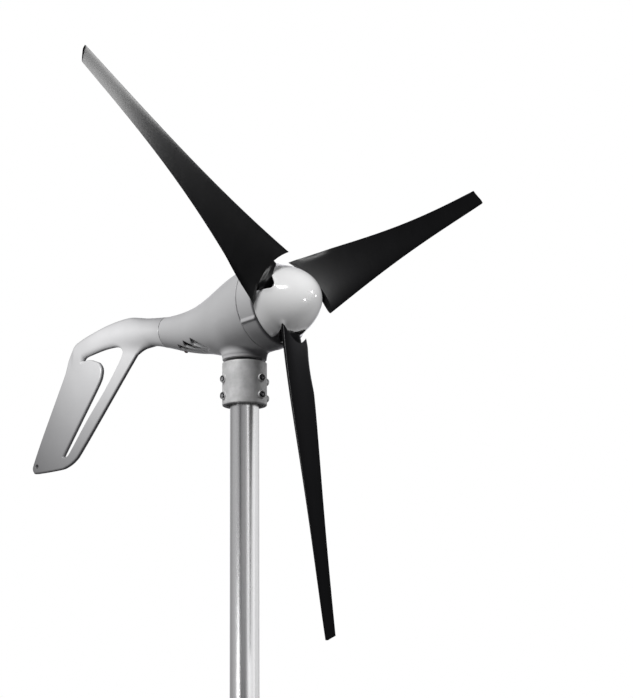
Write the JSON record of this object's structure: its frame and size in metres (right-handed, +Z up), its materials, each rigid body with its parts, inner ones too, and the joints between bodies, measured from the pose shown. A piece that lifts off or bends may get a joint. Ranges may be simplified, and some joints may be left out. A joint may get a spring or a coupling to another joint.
{
  "type": "small wind turbine",
  "caption": "Small upwind wind turbine with three swept blades, a teardrop nacelle, a windowed tail fin and a clamp on a tube mast.",
  "frame": {"origin": "centre of the mast tube's cut lower end", "axes": "+Z up along the mast and yaw axis; +X upwind, out of the nose, at rest; +Y completes a right-handed set"},
  "size_m": [0.7144, 1.0075, 1.2442],
  "materials": {
    "mast_steel": "brushed along its length",
    "cast_aluminium": "as cast",
    "sand_cast_aluminium": "sand cast, fine grain",
    "satin_paint": "satin light grey paint over a casting",
    "gloss_plastic": "glossy pale grey moulding",
    "blade_plastic": "satin black moulding",
    "screw_steel": "plain",
    "bearing_steel": "ground",
    "machined_aluminium": "turned",
    "brass": "turned",
    "copper": "enamelled copper wire",
    "laminations": "stacked sheet",
    "magnet": "nickel plated",
    "insulator": "black insulating plastic",
    "carbon": "carbon graphite",
    "board": "green solder mask",
    "capacitor_sleeve": "shrink sleeve",
    "lens": "red lens"
  },
  "bodies": {
    "root": {"mast_tube": "mast_steel", "yaw_post": "cast_aluminium", "clamp_front": "sand_cast_aluminium", "clamp_rear": "sand_cast_aluminium", "clamp_screw_1": "screw_steel", "clamp_screw_2": "screw_steel", "clamp_screw_3": "screw_steel", "clamp_screw_4": "screw_steel", "clamp_screw_5": "screw_steel", "clamp_screw_6": "screw_steel", "clamp_screw_7": "screw_steel", "clamp_screw_8": "screw_steel", "slip_ring_sleeve": "insulator", "slip_ring_1": "brass", "slip_ring_2": "brass", "yaw_snap_ring": "bearing_steel", "yaw_bearing_lower_inner_race": "bearing_steel", "yaw_bearing_upper_inner_race": "bearing_steel"},
    "nacelle": {"nacelle_body": "satin_paint", "tail_casting": "satin_paint", "front_cover": "satin_paint", "cover_screw_1": "screw_steel", "cover_screw_2": "screw_steel", "cover_screw_3": "screw_steel", "stator_core": "laminations", "stator_winding": "copper", "circuit_board": "board", "capacitor": "capacitor_sleeve", "regulator_block": "insulator", "brush_holder": "insulator", "status_lens": "lens", "yaw_bearing_lower_outer_race": "bearing_steel", "yaw_bearing_upper_outer_race": "bearing_steel", "rotor_bearing_rear_outer_race": "bearing_steel", "rotor_bearing_front_outer_race": "bearing_steel"},
    "rotor": {"nose_cone": "gloss_plastic", "hub_plate": "machined_aluminium", "blade_1": "blade_plastic", "blade_2": "blade_plastic", "blade_3": "blade_plastic", "blade_screw_1": "screw_steel", "blade_screw_2": "screw_steel", "blade_screw_3": "screw_steel", "blade_screw_4": "screw_steel", "blade_screw_5": "screw_steel", "blade_screw_6": "screw_steel", "hub_nut": "bearing_steel", "hub_washer": "bearing_steel", "rotor_shaft": "bearing_steel", "magnet_core": "bearing_steel", "magnet_ring": "magnet", "rotor_bearing_rear_inner_race": "bearing_steel", "rotor_bearing_front_inner_race": "bearing_steel"},
    "brush_pos": {"brush_positive": "carbon", "brush_spring_positive": "bearing_steel"},
    "brush_neg": {"brush_negative": "carbon", "brush_spring_negative": "bearing_steel"}
  },
  "joints": [
    {"name": "yaw", "type": "hinge", "parent": "root", "child": "nacelle", "pos_m": [0, 0, 0.92], "axis": [0, 0, 1], "continuous": true},
    {"name": "rotor_spin", "type": "hinge", "parent": "nacelle", "child": "rotor", "pos_m": [0, 0, 0.92], "axis": [0.9956, 0, 0.0941], "continuous": true},
    {"name": "brush_pos_slide", "type": "slide", "parent": "nacelle", "child": "brush_pos", "axis": [-1, 0, 0], "range_m": [0, 0.003], "stiffness_N_per_m": 150, "springref_m": -0.003, "deforming": ["brush_spring_positive"]},
    {"name": "brush_neg_slide", "type": "slide", "parent": "nacelle", "child": "brush_neg", "axis": [-1, 0, 0], "range_m": [0, 0.003], "stiffness_N_per_m": 150, "springref_m": -0.003, "deforming": ["brush_spring_negative"]}
  ]
}
